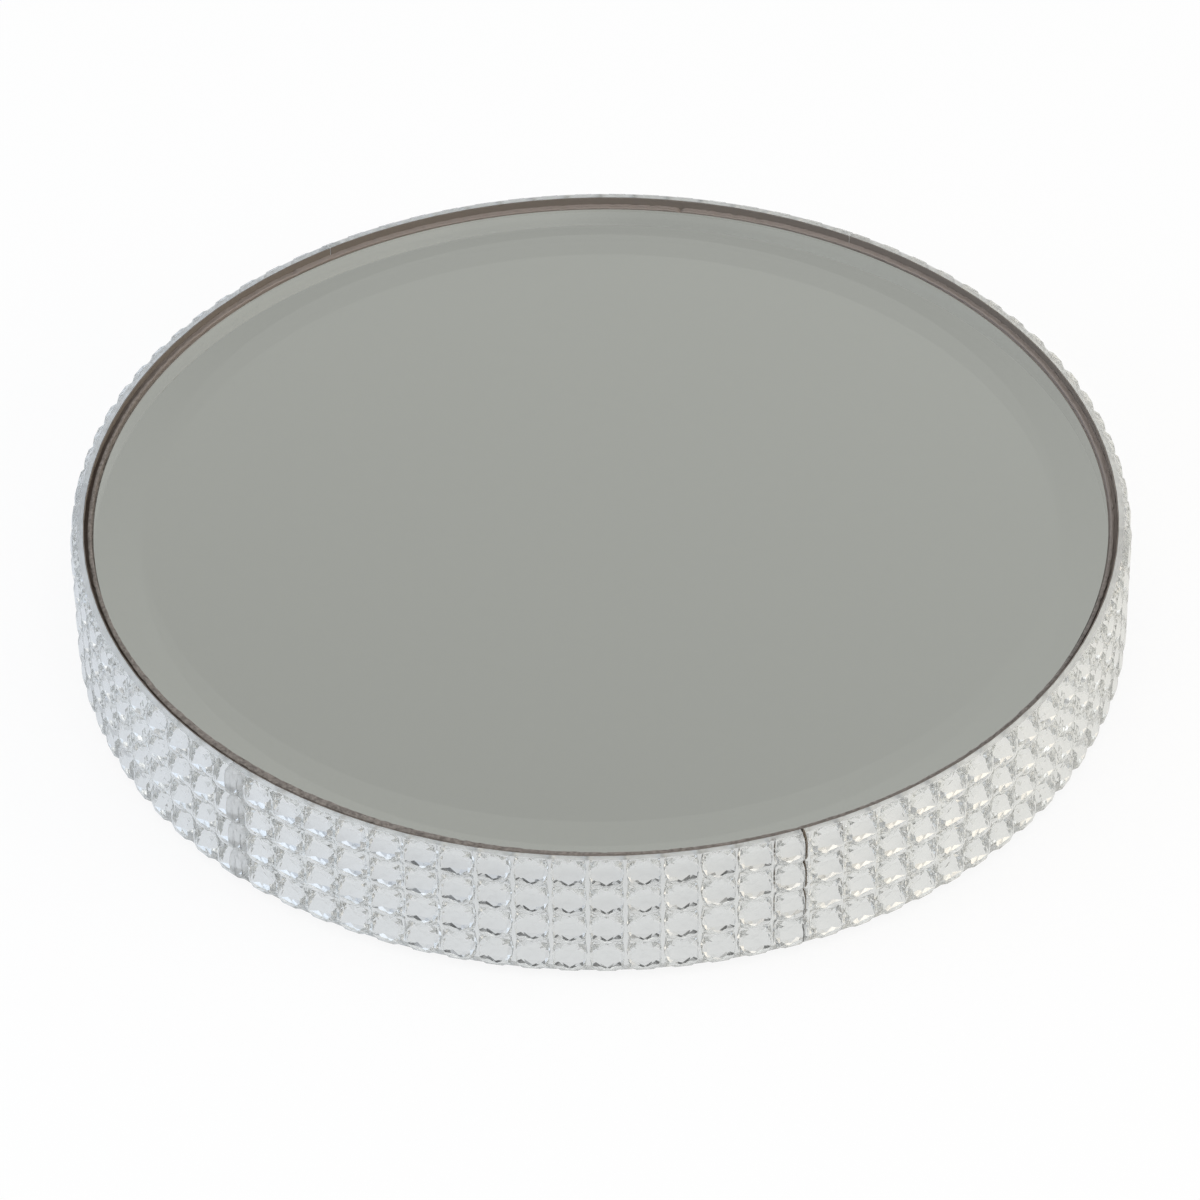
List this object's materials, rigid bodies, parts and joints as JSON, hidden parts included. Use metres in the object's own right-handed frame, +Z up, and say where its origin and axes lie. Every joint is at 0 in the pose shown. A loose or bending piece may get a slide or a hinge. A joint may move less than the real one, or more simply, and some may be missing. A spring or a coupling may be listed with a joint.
{
  "type": "candle plate",
  "caption": "Round mirrored candle plate: a bevelled mirror disc whose rim is wrapped with clear faceted stone strips, for standing candles on.",
  "frame": {"origin": "middle of the underside, on the surface that the plate stands on", "axes": "+Z up through the mirror's centre, -Y towards the viewer in the picture, +X to the viewer's right"},
  "size_m": [0.15, 0.15, 0.0212],
  "materials": {
    "mirror_glass": "polished float glass",
    "silvering": "silvered back of the glass",
    "foam_pad": "white foam tape",
    "fibreboard": "raw fibreboard",
    "foam_tape": "grey-brown foam tape, cut edge",
    "clear_acrylic": "clear moulded acrylic",
    "silver_foil": "silver foil, brown lacquer on its back",
    "felt": "black felt"
  },
  "bodies": {
    "root": {"mirror_glass": "mirror_glass", "mirror_silvering": "silvering", "mirror_pads": "foam_pad", "core_board": "fibreboard", "rim_tape": "foam_tape", "base_felt": "felt", "crystal_strip_1": "clear_acrylic", "crystal_strip_2": "clear_acrylic", "crystal_strip_3": "clear_acrylic", "crystal_strip_4": "clear_acrylic", "crystal_strip_5": "clear_acrylic", "crystal_strip_6": "clear_acrylic", "strip_foil_1": "silver_foil", "strip_foil_2": "silver_foil", "strip_foil_3": "silver_foil", "strip_foil_4": "silver_foil", "strip_foil_5": "silver_foil", "strip_foil_6": "silver_foil"}
  },
  "joints": []
}
